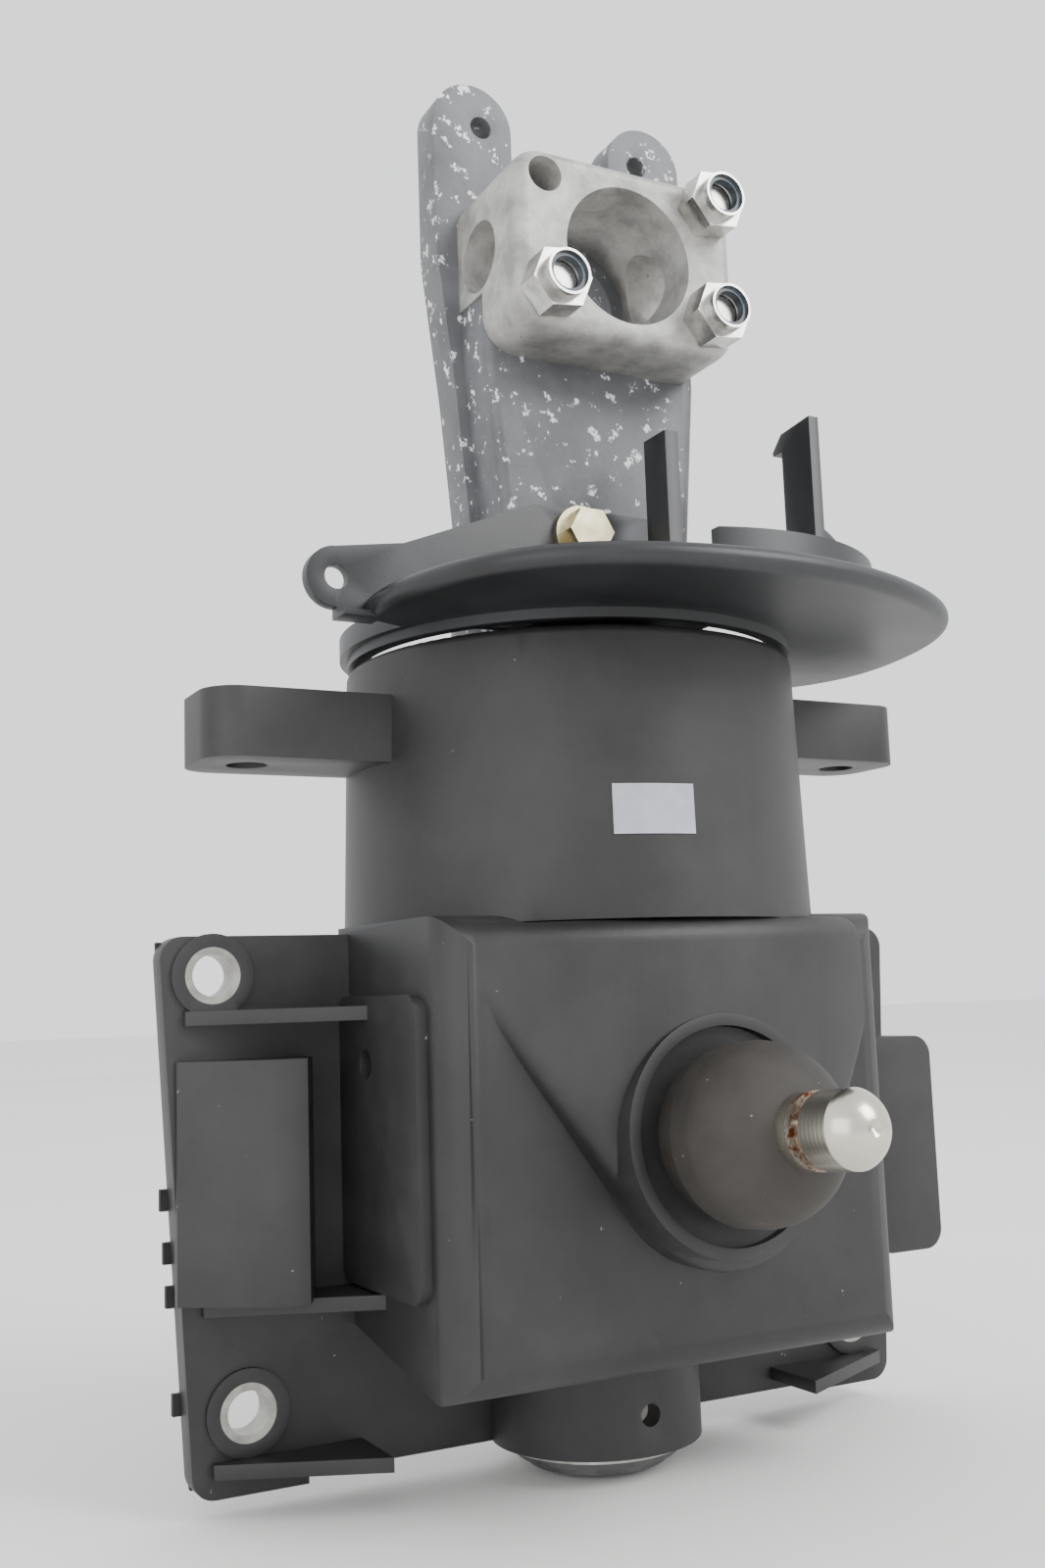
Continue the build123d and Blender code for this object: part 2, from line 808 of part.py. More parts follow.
with BuildPart() as stock_label:
    # Blank paper label stuck to the barrel's front.
    with BuildSketch(label_plane):
        with BuildLine():
            Polyline(
                (barrel_radius_at(label_z - label_height / 2), label_z - label_height / 2),
                (barrel_radius_at(label_z + label_height / 2), label_z + label_height / 2),
                (
                    barrel_radius_at(label_z + label_height / 2) + label_thickness,
                    label_z + label_height / 2,
                ),
                (
                    barrel_radius_at(label_z - label_height / 2) + label_thickness,
                    label_z - label_height / 2,
                ),
                close=True,
            )
        make_face()
    revolve(axis=column_axis, revolution_arc=label_arc)
finish(stock_label.part, "stock_label")

# ---------------------------------------------------------------- head bracket
with BuildPart() as head_bracket:
    # Cast bracket: two ears and side rails with a raised web between them, on a round hub.
    with BuildSketch(front_plane(plate_back)):
        with BuildLine():
            Polyline(
                (-rail_half_foot, hub_top - rail_foot_drop),
                (-rail_half_waist, waist_z),
                (-rail_half_top, shoulder_z),
                (-rail_half_top, ear_z),
                (rail_half_top, ear_z),
                (rail_half_top, shoulder_z),
                (rail_half_waist, waist_z),
                (rail_half_foot, hub_top - rail_foot_drop),
                close=True,
            )
        make_face()
        with Locations((-ear_x, ear_z), (ear_x, ear_z)):
            Circle(ear_radius)
        with Locations((0, plate_top + ear_gap_depth / 2)):
            Rectangle(2 * (ear_x - ear_radius), ear_gap_depth, mode=Mode.SUBTRACT)
    extrude(amount=plate_back - plate_front)
    with BuildSketch(front_plane(plate_front)):
        with BuildLine():
            Polyline(
                (-web_half_foot, hub_foot),
                (-web_half_top, waist_z + web_step),
                (-web_half_top, web_top),
                (web_half_top, web_top),
                (web_half_top, waist_z + web_step),
                (web_half_foot, hub_foot),
                close=True,
            )
        make_face()
    extrude(amount=plate_front - web_front)
    web_edges = head_bracket.faces().sort_by(Axis.Y)[0].edges().filter_by(Axis.X, reverse=True)
    fillet(web_edges, web_fillet)
    with BuildSketch(column_plane(hub_bottom)):
        Circle(hub_radius)
    extrude(amount=hub_top - hub_bottom)
    # Flat in front of the hub, where the cover plate stands against the web.
    with BuildSketch(Plane.XY.offset(cover_bottom - cut_over)):
        with Locations((0, web_front - hub_radius)):
            Rectangle(4 * hub_radius, 2 * hub_radius)
    extrude(amount=hub_radius, mode=Mode.SUBTRACT)
    # Hollow behind the web, open to the back.
    with BuildSketch(front_plane(plate_back + hub_radius)):
        with BuildLine():
            Polyline(
                (-web_half_foot + web_thickness, hub_top),
                (-web_half_top + web_thickness, waist_z),
                (-web_half_top + web_thickness, clamp_bolt_low - hollow_margin),
                (web_half_top - web_thickness, clamp_bolt_low - hollow_margin),
                (web_half_top - web_thickness, waist_z),
                (web_half_foot - web_thickness, hub_top),
                close=True,
            )
        make_face()
    extrude(amount=plate_back + hub_radius - web_front - web_thickness, mode=Mode.SUBTRACT)
    # Tube socket and the cable way above it.
    with BuildSketch(column_plane(hub_bottom - cut_over)):
        Circle(tube_radius)
    extrude(amount=tube_top - hub_bottom + cut_over, mode=Mode.SUBTRACT)
    with BuildSketch(column_plane(hub_bottom)):
        Circle(tube_bore)
    extrude(amount=hub_radius + hub_top - hub_bottom, mode=Mode.SUBTRACT)
    # Ear, clamp bolt, cable and cover bolt holes.
    with BuildSketch(front_plane(plate_back + cut_over)):
        with Locations((-ear_bolt_x, ear_z), (ear_bolt_x, ear_z)):
            Circle(ear_bolt_radius)
        with Locations(*clamp_bolt_places):
            Circle(clamp_bolt_radius + clamp_bolt_clearance)
        with Locations((0, block_bore_z)):
            Circle(plate_bore_radius)
    extrude(amount=plate_back - web_front + 2 * cut_over, mode=Mode.SUBTRACT)
    with BuildSketch(front_plane(web_front + web_thickness + cut_over)):
        with Locations((cover_bolt_x, cover_bolt_z)):
            Circle(cover_bolt_radius)
    extrude(amount=web_thickness + 2 * cut_over, mode=Mode.SUBTRACT)
    with BuildSketch(side_plane(-hub_radius - cut_over)):
        with Locations((column_y, hub_screw_z)):
            Circle(hub_screw_radius)
    extrude(amount=2 * (hub_radius + cut_over), mode=Mode.SUBTRACT)
finish(head_bracket.part, "head_bracket")

# ---------------------------------------------------------------- clamp block
with BuildPart() as clamp_block:
    # Raw cast block with a large front bore and a cable window through its sides.
    with BuildSketch(front_plane(plate_front)):
        with Locations((0, (block_top + block_bottom) / 2)):
            RectangleRounded(2 * block_half_width, block_top - block_bottom, block_corner)
    extrude(amount=plate_front - block_front)
    fillet(clamp_block.faces().sort_by(Axis.Y)[0].edges(), block_edge)
    with BuildSketch(side_plane(-block_half_width - cut_over)):
        with Locations(
            ((plate_front + web_front) / 2 + block_step_clearance, web_top - ear_gap_depth / 2)
        ):
            Rectangle(plate_front - web_front + 2 * block_step_clearance, ear_gap_depth)
    extrude(amount=2 * (block_half_width + cut_over), mode=Mode.SUBTRACT)
    with BuildSketch(side_plane(-block_half_width - cut_over)):
        with Locations((side_window_y, side_window_z)):
            Circle(side_window_radius)
    extrude(amount=2 * (block_half_width + cut_over), mode=Mode.SUBTRACT)
    with BuildSketch(front_plane(plate_front + cut_over)):
        with Locations((0, block_bore_z)):
            Circle(block_bore_radius)
        with Locations(*clamp_bolt_places):
            Circle(clamp_bolt_radius + clamp_bolt_clearance)
    extrude(amount=plate_front - block_front + 2 * cut_over, mode=Mode.SUBTRACT)
finish(clamp_block.part, "clamp_block")

with BuildPart() as clamp_bolts:
    # Three long bolts from the back; their ends stop inside the nuts.
    with BuildSketch(front_plane(plate_back)):
        with Locations(*clamp_bolt_fitted):
            Circle(clamp_bolt_radius)
    extrude(amount=plate_back - block_front + nut_hex_height - bolt_end_inset)
    with BuildSketch(front_plane(plate_back)):
        with Locations(*clamp_bolt_fitted):
            RegularPolygon(nut_flats / 2, 6, major_radius=False)
    extrude(amount=-clamp_head_height)
finish(clamp_bolts.part, "clamp_bolts")

with BuildPart() as clamp_nuts:
    # Lock nuts: hexagon with a rounded collar that holds the nylon ring.
    with BuildSketch(front_plane(block_front)):
        with Locations(*clamp_bolt_fitted):
            RegularPolygon(nut_flats / 2, 6, major_radius=False, rotation=nut_turn)
            Circle(clamp_bolt_radius, mode=Mode.SUBTRACT)
    extrude(amount=nut_hex_height)
    with BuildSketch(front_plane(block_front - nut_hex_height)):
        with Locations(*clamp_bolt_fitted):
            Circle(nut_collar_radius)
            Circle(nut_insert_radius, mode=Mode.SUBTRACT)
    extrude(amount=nut_height - nut_hex_height)
finish(clamp_nuts.part, "clamp_nuts")

with BuildPart() as nut_inserts:
    with BuildSketch(front_plane(block_front - nut_hex_height)):
        with Locations(*clamp_bolt_fitted):
            Circle(nut_insert_radius)
            Circle(clamp_bolt_radius - insert_bite, mode=Mode.SUBTRACT)
    extrude(amount=nut_height - nut_hex_height - insert_recess)
finish(nut_inserts.part, "nut_inserts")

# ---------------------------------------------------------------- cover plate
with BuildPart() as cover_plate:
    # Rounded moulded plate over the barrel, open in the middle for the hub and cables.
    with BuildSketch(Plane.XY.offset(cover_bottom)):
        with BuildLine():
            rim = Spline(*cover_rim)
            Line(rim @ 1, rim @ 0)
        make_face()
    extrude(amount=cover_thickness)
    fillet(cover_plate.edges().filter_by(GeomType.BSPLINE), cover_edge)
    # Ring around the opening; it alone closes the plate at the back left.
    with BuildSketch(Plane.XY.offset(cover_bottom)):
        with Locations((0, column_y)):
            Circle(cover_ring_radius)
    extrude(amount=cover_thickness)
    with BuildSketch(Plane.XY.offset(cover_bottom)):
        with Locations((0, column_y)):
            Circle(skirt_outer - skirt_wall)
    extrude(amount=cover_thickness, mode=Mode.SUBTRACT)
    # Bridge from the ring to the bracket web.
    with BuildSketch(Plane.XY.offset(cover_bottom)):
        with Locations(((bridge_left + bridge_right) / 2, (bridge_front + web_front) / 2)):
            Rectangle(bridge_right - bridge_left, web_front - bridge_front)
    extrude(amount=cover_thickness)
    # Skirt ring that hangs over the barrel rim, and a low curved wall at the right front.
    with BuildSketch(column_plane(skirt_bottom)):
        Circle(skirt_outer)
        Circle(skirt_outer - skirt_wall, mode=Mode.SUBTRACT)
    extrude(amount=cover_bottom - skirt_bottom + root_depth)
    with BuildSketch(Plane.XY.offset(cover_root)):
        with Locations((arc_wall_x, arc_wall_y)):
            Circle(arc_wall_radius)
            Circle(arc_wall_radius - arc_wall_thickness, mode=Mode.SUBTRACT)
        with Locations((arc_wall_start - 2 * arc_wall_radius, arc_wall_y)):
            Rectangle(4 * arc_wall_radius, 4 * arc_wall_radius, mode=Mode.SUBTRACT)
        with Locations((arc_wall_x, arc_wall_back + 2 * arc_wall_radius)):
            Rectangle(4 * arc_wall_radius, 4 * arc_wall_radius, mode=Mode.SUBTRACT)
    extrude(amount=arc_wall_top - cover_root)
    # Upright wall bolted to the bracket, running out to a round ear on the left.
    with BuildSketch(front_plane(web_front)):
        with BuildLine():
            Polyline(
                (cover_ear_x, cover_root),
                (cover_ear_x, cover_ear_z + cover_ear_radius),
                (wall_shoulder_x, wall_shoulder_z),
                (wall_peak_x, wall_peak_z),
                (bridge_right, wall_peak_z),
                (bridge_right, cover_root),
                close=True,
            )
        make_face()
        with Locations((cover_ear_x, cover_ear_z)):
            Circle(cover_ear_radius)
            Circle(cover_ear_hole, mode=Mode.SUBTRACT)
        with Locations((cover_bolt_x, cover_bolt_z)):
            Circle(cover_bolt_radius + cover_bolt_clearance, mode=Mode.SUBTRACT)
    extrude(amount=cover_wall_thickness)
    # Thin fin under the ear.
    with BuildSketch(Plane.XY.offset(cover_bottom)):
        with Locations((cover_ear_x + fin_length / 2, web_front - fin_width / 2)):
            Rectangle(fin_length, fin_width)
    extrude(amount=fin_thickness)
    # Plain tab and its gusset.
    with BuildSketch(Plane.XY.offset(cover_root)):
        with Locations((tab_x, tab_y)):
            Rectangle(tab_thickness, tab_width)
    extrude(amount=tab_top - cover_root)
    with BuildSketch(front_plane(tab_y + tab_width / 2)):
        with BuildLine():
            Line((tab_x, cover_root), (tab_x, cover_root + tab_gusset_height))
            RadiusArc(
                (tab_x, cover_root + tab_gusset_height),
                (tab_x - tab_gusset_reach, cover_root + tab_gusset_foot),
                tab_gusset_radius,
            )
            Polyline(
                (tab_x - tab_gusset_reach, cover_root + tab_gusset_foot),
                (tab_x - tab_gusset_reach, cover_root),
                (tab_x, cover_root),
            )
        make_face()
    extrude(amount=tab_gusset_thickness)
    # Snap clip with a hook at its top and a flared foot.
    with BuildSketch(side_plane(clip_x)):
        with BuildLine():
            Polyline(
                (clip_y - clip_front, cover_root),
                (clip_y - clip_front, clip_top),
                (clip_y + clip_back, clip_top - hook_slope),
                (clip_y + clip_back + hook_nose, clip_top - hook_height + hook_slope),
                (clip_y + clip_back + hook_nose, clip_top - hook_height),
                (clip_y + clip_back, clip_top - hook_height),
                (clip_y + clip_back, cover_root),
                close=True,
            )
        make_face()
    extrude(amount=clip_thickness)
    with BuildSketch(front_plane(clip_y)):
        with BuildLine():
            Line((clip_x, cover_root), (clip_x, clip_foot_top))
            Spline(
                (clip_x, clip_foot_top),
                (clip_x + clip_foot_bulge, clip_foot_top - clip_foot_drop),
                (clip_x + clip_foot_reach, cover_root + clip_foot_edge),
            )
            Polyline(
                (clip_x + clip_foot_reach, cover_root + clip_foot_edge),
                (clip_x + clip_foot_reach, cover_root),
                (clip_x, cover_root),
            )
        make_face()
    extrude(amount=clip_foot_thickness)
finish(cover_plate.part, "cover_plate")

with BuildPart() as cover_bolt:
    # Flanged hexagon bolt that holds the cover plate to the web.
    with BuildSketch(front_plane(web_front + web_thickness)):
        with Locations((cover_bolt_x, cover_bolt_z)):
            Circle(cover_bolt_radius)
    extrude(amount=web_thickness + cover_wall_thickness)
    with BuildSketch(front_plane(web_front - cover_wall_thickness)):
        with Locations((cover_bolt_x, cover_bolt_z)):
            Circle(cover_bolt_flange)
    extrude(amount=cover_bolt_flange_height)
    with BuildSketch(front_plane(web_front - cover_wall_thickness)):
        with Locations((cover_bolt_x, cover_bolt_z)):
            RegularPolygon(cover_bolt_flats / 2, 6, major_radius=False)
    extrude(amount=cover_bolt_height)
finish(cover_bolt.part, "cover_bolt")

# ---------------------------------------------------------------- steering tube
with BuildPart() as steering_tube:
    with BuildSketch(column_plane(tube_bottom)):
        Circle(tube_radius)
        Circle(tube_bore, mode=Mode.SUBTRACT)
    extrude(amount=tube_top - tube_bottom)
    # Groove for the retaining ring, key seat, and dimples for the hub screws.
    with BuildSketch(column_plane(ring_bottom)):
        Circle(tube_radius + cut_over)
        Circle(tube_radius - ring_seat_depth, mode=Mode.SUBTRACT)
    extrude(amount=ring_thickness, mode=Mode.SUBTRACT)
    with BuildSketch(column_plane(key_bottom)):
        with Locations((-tube_radius, 0)):
            Rectangle(2 * key_depth, key_width)
    extrude(amount=key_length, mode=Mode.SUBTRACT)
    with BuildSketch(side_plane(-tube_radius - cut_over)):
        with Locations((column_y, hub_screw_z)):
            Circle(hub_screw_radius)
    extrude(amount=2 * (tube_radius + cut_over), mode=Mode.SUBTRACT)
finish(steering_tube.part, "steering_tube")

with BuildPart() as hub_screws:
    # Two socket screws that lock the hub to the tube.
    for side in (-1, 1):
        with BuildSketch(side_plane(side * (tube_bore + hub_screw_recess))):
            with Locations((column_y, hub_screw_z)):
                Circle(hub_screw_radius)
        extrude(amount=side * (hub_radius - tube_bore - 2 * hub_screw_recess))
        with BuildSketch(side_plane(side * (hub_radius - hub_screw_recess))):
            with Locations((column_y, hub_screw_z)):
                RegularPolygon(hex_socket_flats / 2, 6, major_radius=False)
        extrude(amount=-side * hex_socket_depth, mode=Mode.SUBTRACT)
finish(hub_screws.part, "hub_screws")

with BuildPart() as lower_washer:
    with BuildSketch(column_plane(boss_bottom - washer_thickness)):
        Circle(tube_radius + seal_wall)
        Circle(tube_radius, mode=Mode.SUBTRACT)
    extrude(amount=washer_thickness)
finish(lower_washer.part, "lower_washer")

with BuildPart() as retaining_ring:
    # Open spring ring in the tube's lower groove.
    with BuildSketch(column_plane(ring_bottom)):
        Circle(tube_radius + ring_outer_reach)
        Circle(tube_radius - ring_seat_depth, mode=Mode.SUBTRACT)
        with Locations((0, tube_radius)):
            Rectangle(ring_opening, ring_opening, mode=Mode.SUBTRACT)
    extrude(amount=ring_thickness)
finish(retaining_ring.part, "retaining_ring")

with BuildPart() as dust_seal:
    # Rubber ring between the lower bearing and the arm.
    with BuildSketch(column_plane(boss_top)):
        Circle(tube_radius + seal_wall)
        Circle(tube_radius, mode=Mode.SUBTRACT)
    extrude(amount=arm_bottom - boss_top)
    seal_rims = dust_seal.edges().filter_by(GeomType.CIRCLE)
    fillet(seal_rims.group_by(SortBy.RADIUS)[-1], seal_edge)
finish(dust_seal.part, "dust_seal")

# ---------------------------------------------------------------- steering arm
with BuildPart() as steering_arm:
    # Clamped hub with a stop tail to the front and the cable arm to the right.
    with BuildSketch(column_plane(arm_bottom)):
        Circle(arm_clamp_radius)
    extrude(amount=arm_top - arm_bottom)
    with BuildSketch(column_plane(arm_bottom)):
        with Locations((0, -tail_length / 2)):
            Rectangle(2 * tail_half_width, tail_length)
    extrude(amount=arm_thickness)
    with BuildSketch(column_plane(arm_top - arm_thickness)):
        with Locations((arm_length / 2, 0)):
            Rectangle(arm_length, 2 * arm_half_width)
        with Locations((arm_length, 0)):
            Circle(arm_half_width)
    extrude(amount=arm_thickness)
    with BuildSketch(column_plane(arm_clamp_z - arm_half_width)):
        with Locations((0, arm_clamp_radius)):
            Rectangle(2 * arm_half_width, 2 * (arm_ear_reach - arm_clamp_radius))
    extrude(amount=2 * arm_half_width)
    with BuildSketch(column_plane(arm_bottom)):
        Circle(tube_radius)
        with Locations((0, arm_clamp_radius)):
            Rectangle(arm_slot, 2 * arm_clamp_radius)
        with Locations((-tube_radius, 0)):
            Rectangle(2 * key_depth, key_width)
    extrude(amount=arm_top - arm_bottom, mode=Mode.SUBTRACT)
    with BuildSketch(column_plane(arm_bottom)):
        with Locations((arm_length, 0)):
            Circle(stud_radius)
    extrude(amount=arm_top - arm_bottom, mode=Mode.SUBTRACT)
    with BuildSketch(side_plane(-arm_half_width)):
        with Locations((arm_bolt_y, arm_clamp_z)):
            Circle(arm_bolt_radius + arm_bolt_clearance)
    extrude(amount=2 * arm_half_width, mode=Mode.SUBTRACT)
finish(steering_arm.part, "steering_arm")

with BuildPart() as arm_key:
    with BuildSketch(column_plane(key_bottom)):
        with Locations((-tube_radius, 0)):
            Rectangle(2 * key_depth, key_width)
    extrude(amount=key_length)
finish(arm_key.part, "arm_key")

with BuildPart() as arm_clamp_bolt:
    with BuildSketch(side_plane(-arm_half_width)):
        with Locations((arm_bolt_y, arm_clamp_z)):
            Circle(arm_bolt_radius)
    extrude(amount=2 * arm_half_width + arm_bolt_end)
    with BuildSketch(side_plane(-arm_half_width)):
        with Locations((arm_bolt_y, arm_clamp_z)):
            RegularPolygon(cover_bolt_flats / 2, 6, major_radius=False)
    extrude(amount=-arm_bolt_head)
finish(arm_clamp_bolt.part, "arm_clamp_bolt")

with BuildPart() as arm_clamp_nut:
    with BuildSketch(side_plane(arm_half_width)):
        with Locations((arm_bolt_y, arm_clamp_z)):
            RegularPolygon(cover_bolt_flats / 2, 6, major_radius=False)
            Circle(arm_bolt_radius, mode=Mode.SUBTRACT)
    extrude(amount=arm_nut_height)
finish(arm_clamp_nut.part, "arm_clamp_nut")

with BuildPart() as ball_stud:
    # Stud through the arm with the ball that the steering cable snaps onto.
    with BuildSketch(column_plane(arm_top - arm_thickness - stud_tail)):
        with Locations((arm_length, 0)):
            Circle(stud_radius)
    extrude(amount=arm_thickness + stud_tail)
    with BuildSketch(column_plane(arm_top)):
        with Locations((arm_length, 0)):
            Circle(stud_radius + stud_collar)
    extrude(amount=stud_collar_height)
    with BuildSketch(column_plane(arm_top)):
        with Locations((arm_length, 0)):
            Circle(stud_radius - ball_neck)
    extrude(amount=ball_rise - ball_radius / 2)
    with Locations((arm_length, column_y, arm_top + ball_rise)):
        Sphere(ball_radius)
finish(ball_stud.part, "ball_stud")

with BuildPart() as ball_stud_nut:
    with BuildSketch(column_plane(arm_top - arm_thickness - nut_hex_height)):
        with Locations((arm_length, 0)):
            RegularPolygon(nut_flats / 2, 6, major_radius=False)
            Circle(stud_radius, mode=Mode.SUBTRACT)
    extrude(amount=nut_hex_height)
finish(ball_stud_nut.part, "ball_stud_nut")
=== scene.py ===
from math import cos, pi, radians, sin

import bmesh
import bpy
from mathutils import Matrix, Vector


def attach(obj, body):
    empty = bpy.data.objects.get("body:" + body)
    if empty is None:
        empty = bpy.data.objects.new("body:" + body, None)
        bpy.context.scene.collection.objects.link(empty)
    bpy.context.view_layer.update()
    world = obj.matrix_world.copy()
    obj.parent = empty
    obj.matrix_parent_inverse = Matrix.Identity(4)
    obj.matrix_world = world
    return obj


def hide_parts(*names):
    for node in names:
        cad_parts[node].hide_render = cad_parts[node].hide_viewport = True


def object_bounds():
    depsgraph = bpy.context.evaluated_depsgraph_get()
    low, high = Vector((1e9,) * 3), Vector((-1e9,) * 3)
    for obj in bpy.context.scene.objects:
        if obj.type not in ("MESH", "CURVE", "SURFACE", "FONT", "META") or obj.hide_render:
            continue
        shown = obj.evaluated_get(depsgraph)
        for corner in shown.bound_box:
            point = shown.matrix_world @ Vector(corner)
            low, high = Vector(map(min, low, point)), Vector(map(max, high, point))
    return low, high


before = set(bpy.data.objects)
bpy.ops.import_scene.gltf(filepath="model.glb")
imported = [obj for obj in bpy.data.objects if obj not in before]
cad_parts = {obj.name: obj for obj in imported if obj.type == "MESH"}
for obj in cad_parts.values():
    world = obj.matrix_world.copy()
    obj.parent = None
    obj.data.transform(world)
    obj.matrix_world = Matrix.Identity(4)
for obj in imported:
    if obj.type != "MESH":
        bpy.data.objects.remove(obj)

cad_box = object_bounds()

# ------------------------------------------------------------------ steering housing
# The bulkhead housing and the bearing carrier pressed into it are glass-filled nylon,
# injection moulded. Years of sun have faded the black to charcoal, and dust sits on it.


def srgb(code):
    """A colour written as sRGB hex, as the linear value that a shader wants."""
    values = [int(code[i:i + 2], 16) / 255 for i in (1, 3, 5)]
    return [v / 12.92 if v <= 0.04045 else ((v + 0.055) / 1.055) ** 2.4 for v in values] + [1.0]


def node(tree, kind, settings=None, links=None):
    """Add one shader node, with its settings and the sockets that feed it."""
    made = tree.nodes.new(kind)
    for key, value in (settings or {}).items():
        if isinstance(key, str) and hasattr(made, key):
            setattr(made, key, value)
        else:
            made.inputs[key].default_value = value
    for key, source in (links or {}).items():
        tree.links.new(source, made.inputs[key])
    return made


def surface(name, base, worn, patch_mm, patch_low, patch_high, roughness, metallic=0.0,
            grain_mm=0.6, grain_depth_mm=0.03, speck=None, speck_mm=3.0, speck_level=0.72,
            rough_spread=0.08, ior=1.5):
    """A worn solid surface: two tones in cloudy patches, a fine grain, and sparse specks."""
    material = bpy.data.materials.new(name)
    material.use_nodes = True
    tree = material.node_tree
    shader = tree.nodes["Principled BSDF"]
    shader.inputs["Metallic"].default_value = metallic
    if not metallic:
        shader.inputs["IOR"].default_value = ior
    place = node(tree, "ShaderNodeTexCoord").outputs["Object"]
    patches = node(tree, "ShaderNodeTexNoise",
                   {"Scale": 1000 / patch_mm, "Detail": 5.0, "Roughness": 0.62}, {"Vector": place})
    blend = node(tree, "ShaderNodeMapRange",
                 {"From Min": patch_low, "From Max": patch_high}, {"Value": patches.outputs["Fac"]})
    tone = node(tree, "ShaderNodeMix", {"data_type": "RGBA"}, {0: blend.outputs[0]})
    tone.inputs[6].default_value = srgb(base)
    tone.inputs[7].default_value = srgb(worn)
    colour = tone.outputs[2]
    if speck:
        dots = node(tree, "ShaderNodeTexNoise",
                    {"Scale": 1000 / speck_mm, "Detail": 3.0, "Roughness": 0.7}, {"Vector": place})
        sharp = node(tree, "ShaderNodeMapRange",
                     {"From Min": speck_level, "From Max": speck_level + 0.05},
                     {"Value": dots.outputs["Fac"]})
        dusty = node(tree, "ShaderNodeMix", {"data_type": "RGBA"}, {0: sharp.outputs[0], 6: colour})
        dusty.inputs[7].default_value = srgb(speck)
        colour = dusty.outputs[2]
    tree.links.new(colour, shader.inputs["Base Color"])
    grain = node(tree, "ShaderNodeTexNoise",
                 {"Scale": 1000 / grain_mm, "Detail": 2.0, "Roughness": 0.5}, {"Vector": place})
    gloss = node(tree, "ShaderNodeMapRange",
                 {"To Min": roughness - rough_spread, "To Max": roughness + rough_spread},
                 {"Value": patches.outputs["Fac"]})
    tree.links.new(gloss.outputs[0], shader.inputs["Roughness"])
    bump = node(tree, "ShaderNodeBump", {"Strength": 0.6, "Distance": grain_depth_mm / 1000},
                {"Height": grain.outputs["Fac"]})
    tree.links.new(bump.outputs["Normal"], shader.inputs["Normal"])
    return material


def finish_node(name, material):
    """Give a CAD node its material."""
    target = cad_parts[name]
    target.data.materials.clear()
    target.data.materials.append(material)
    for face in target.data.polygons:
        face.material_index = 0


def softened(name, body, material, radius_mm, angle=38):
    """A merged copy of a CAD node with its sharp edges rounded, which stands in for it."""
    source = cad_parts[name]
    shape = bmesh.new()
    shape.from_mesh(source.data)
    shape.transform(source.matrix_world)
    bmesh.ops.remove_doubles(shape, verts=shape.verts, dist=0.00002)
    bmesh.ops.dissolve_limit(shape, angle_limit=radians(1.0), use_dissolve_boundaries=False,
                             verts=shape.verts, edges=shape.edges)
    sharp = [e for e in shape.edges if e.is_manifold and e.calc_face_angle() > radians(angle)]
    bmesh.ops.bevel(shape, geom=sharp, offset=radius_mm / 1000, offset_type="OFFSET", segments=3,
                    profile=0.5, affect="EDGES", clamp_overlap=True, material=-1)
    bmesh.ops.triangulate(shape, faces=[f for f in shape.faces if len(f.verts) > 4])
    bmesh.ops.recalc_face_normals(shape, faces=shape.faces)
    mesh = bpy.data.meshes.new(name + "_soft")
    shape.to_mesh(mesh)
    shape.free()
    mesh.shade_smooth()
    mesh.set_sharp_from_angle(angle=radians(32))
    mesh.materials.append(material)
    piece = bpy.data.objects.new(name + "_soft", mesh)
    bpy.context.collection.objects.link(piece)
    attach(piece, body)
    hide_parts(name)
    return piece


# Faded charcoal with a brownish cast and pale dust; it reads matt with a soft sheen.
housing_nylon = surface("faded glass-filled nylon", "#1c1c1d", "#2e2d2d", 38, 0.38, 0.66, 0.52,
                        grain_mm=0.7, grain_depth_mm=0.05, speck="#8d8a83", speck_mm=2.6,
                        speck_level=0.735)
finish_node("steering_housing", housing_nylon)
softened("steering_housing", "housing", housing_nylon, 1.2)
finish_node("bearing_carrier", housing_nylon)

# ------------------------------------------------------------------ flange gasket
# Closed-cell rubber squeezed between flange and bulkhead; torn tongues show at the left.
gasket_foam = surface("compressed cellular rubber", "#1d1d1e", "#2c2b2a", 9, 0.4, 0.6, 0.86,
                      grain_mm=0.9, grain_depth_mm=0.14)
finish_node("flange_gasket", gasket_foam)

# ------------------------------------------------------------------ flange sleeves
# Rolled steel limiters in the bolt holes, zinc plated, dulled by salt.
dull_zinc = surface("salt-dulled zinc plate", "#8b8a85", "#b1b0a9", 5, 0.35, 0.65, 0.42, 1.0,
                    grain_mm=0.5, grain_depth_mm=0.02)
finish_node("flange_sleeves", dull_zinc)

# ------------------------------------------------------------------ bearings
# Machined acetal bushes and the thrust washer above them, off-white and slightly waxy.
acetal = surface("machined acetal", "#c6c3b8", "#d8d5cb", 20, 0.4, 0.6, 0.38,
                 grain_mm=0.5, grain_depth_mm=0.01)
for piece in ("upper_bush", "lower_bush", "thrust_washer"):
    finish_node(piece, acetal)

# ------------------------------------------------------------------ rubber pieces
# Moulded rubber: the domed bumper round the latch pin, the stop sleeves and the dust seal.
# The rubber is browner than the nylon, with fine pale bloom.
bumper_rubber = surface("moulded rubber", "#25221f", "#35312d", 16, 0.36, 0.66, 0.68,
                        grain_mm=0.55, grain_depth_mm=0.06, speck="#8a857c", speck_mm=1.8,
                        speck_level=0.72)
for piece in ("latch_bumper", "stop_bumpers", "dust_seal"):
    finish_node(piece, bumper_rubber)

